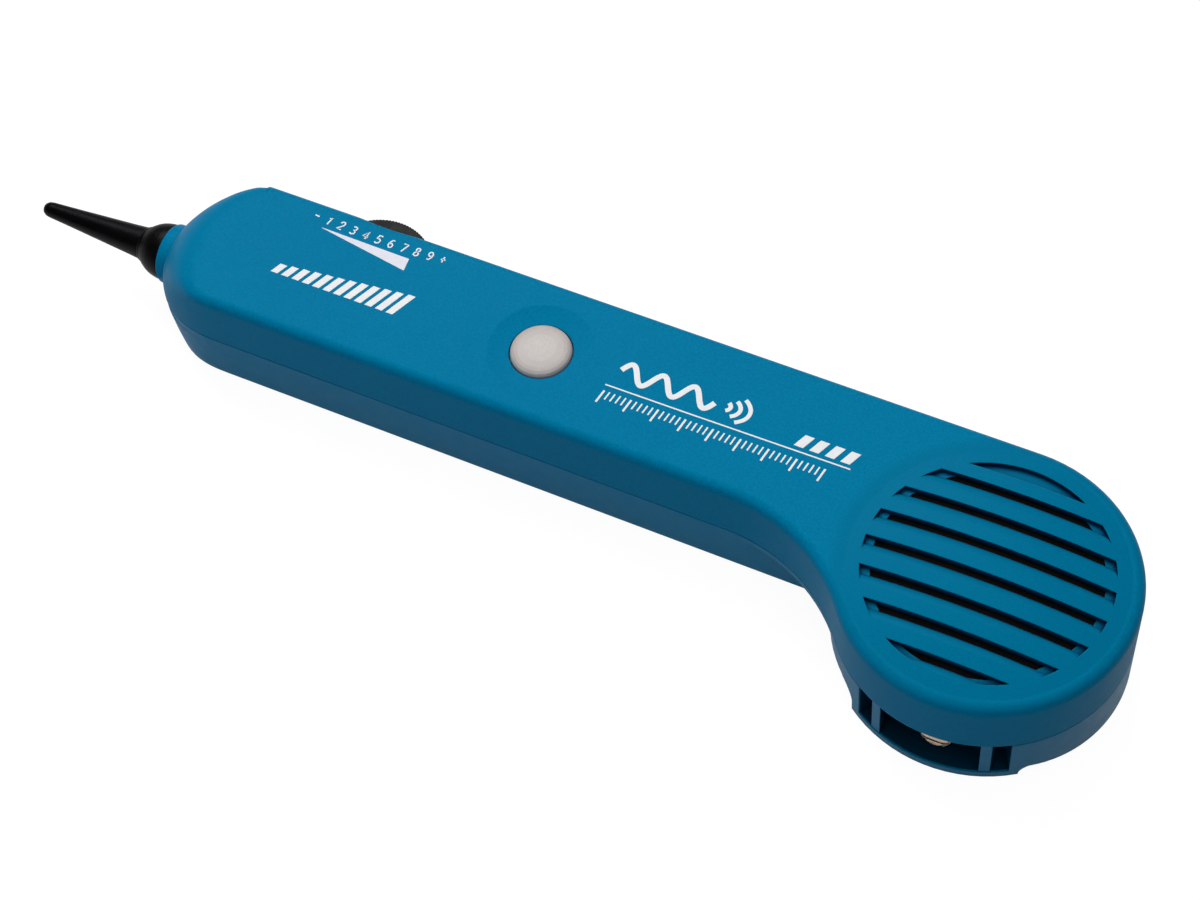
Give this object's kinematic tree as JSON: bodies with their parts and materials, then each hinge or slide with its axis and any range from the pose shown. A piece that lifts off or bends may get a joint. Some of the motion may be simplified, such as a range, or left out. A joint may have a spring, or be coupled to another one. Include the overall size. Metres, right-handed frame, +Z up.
{
  "type": "cable tracer probe",
  "caption": "Hand-held inductive cable tracer probe: flat clamshell handle, round loudspeaker head with slotted grille, push button, edge thumbwheel and conductive tip.",
  "frame": {"origin": "on the rest plane, directly under the loudspeaker axis", "axes": "+X along the handle from the tip towards the loudspeaker head, +Z up out of the grille face, +Y towards the thumbwheel side"},
  "size_m": [0.2459, 0.0625, 0.0283],
  "materials": {
    "shell_blue": "fine spark-eroded texture, satin",
    "button_grey": "satin moulded",
    "wheel_black": "knurled edge",
    "tip_black": "semi-gloss conductive plastic",
    "cloth_black": "fine woven speaker cloth",
    "foam_black": "open-cell foam",
    "plated_steel": "zinc plated",
    "ferrite": "sintered",
    "cone_film": "thin film",
    "copper_coil": "enamelled wire",
    "board_brown": "pressed board",
    "screw_steel": "zinc plated",
    "terminal_nickel": "nickel plated",
    "tinned_brass": "tinned",
    "board_green": "solder mask",
    "chip_black": "moulded epoxy",
    "can_sleeve": "shrink sleeve",
    "ceramic_orange": "dipped",
    "resistor_tan": "lacquered",
    "switch_black": "moulded",
    "switch_white": "moulded",
    "spring_steel": "drawn wire",
    "pot_case": "folded",
    "battery_case": "lithographed steel can, plain",
    "snap_black": "vinyl",
    "lead_red": "PVC insulation",
    "lead_black": "PVC insulation",
    "lead_white": "PVC insulation"
  },
  "bodies": {
    "case": {"amplifier_chip": "chip_black", "antenna_lead": "lead_white", "battery": "battery_case", "battery_lead_black": "lead_black", "battery_lead_red": "lead_red", "battery_pad": "foam_black", "battery_snap": "snap_black", "battery_terminals": "terminal_nickel", "board_screws": "screw_steel", "bottom_shell": "shell_blue", "button_spring": "spring_steel", "case_screws": "screw_steel", "ceramic_capacitors": "ceramic_orange", "circuit_board": "board_green", "electrolytic_capacitors": "can_sleeve", "input_transistor": "chip_black", "pot_body": "pot_case", "probe_tip": "tip_black", "resistors": "resistor_tan", "speaker_cloth": "cloth_black", "speaker_frame": "plated_steel", "speaker_gasket": "foam_black", "speaker_leads": "lead_black", "speaker_magnet": "ferrite", "speaker_screws": "screw_steel", "speaker_surround": "cone_film", "speaker_tag_board": "board_brown", "speaker_top_plate": "plated_steel", "speaker_washers": "screw_steel", "speaker_yoke": "plated_steel", "switch_body": "switch_black", "terminal_lead": "lead_white", "terminal_lug": "tinned_brass", "terminal_nut": "terminal_nickel", "terminal_screw": "terminal_nickel", "terminal_washer": "terminal_nickel", "tip_collar": "tip_black", "tip_lug": "tinned_brass", "tip_nut": "tinned_brass", "top_shell": "shell_blue"},
    "button": {"button_cap": "button_grey"},
    "plunger": {"switch_plunger": "switch_white"},
    "wheel": {"thumbwheel": "wheel_black", "pot_rotor": "switch_white", "thumbwheel_screw": "screw_steel"},
    "door": {"battery_door": "shell_blue", "door_pad": "foam_black"},
    "cone": {"speaker_cone": "cone_film", "speaker_dust_cap": "cone_film", "voice_coil": "copper_coil"}
  },
  "joints": [
    {"name": "button_press", "type": "slide", "parent": "case", "child": "button", "axis": [0, 0, -1], "range_m": [0, 0.0012], "stiffness_N_per_m": 350, "springref_m": -0.002, "deforming": ["button_spring"]},
    {"name": "plunger_press", "type": "slide", "parent": "case", "child": "plunger", "axis": [0, 0, -1], "range_m": [0, 0.0012]},
    {"name": "wheel_turn", "type": "hinge", "parent": "case", "child": "wheel", "pos_m": [-0.1409, 0.022, 0.0179], "axis": [0, 0, 1], "range_deg": [-135, 135]},
    {"name": "door_open", "type": "hinge", "parent": "case", "child": "door", "pos_m": [-0.0826, 0.01266, 0.001], "axis": [0, 1, 0], "range_deg": [0, 80]},
    {"name": "cone_travel", "type": "slide", "parent": "case", "child": "cone", "axis": [0, 0, 1], "range_m": [-0.0004, 0.0004], "stiffness_N_per_m": 200, "deforming": ["speaker_surround"]}
  ],
  "couplings": [
    {"joint": "plunger_press", "follows": "button_press", "ratio": 1}
  ]
}
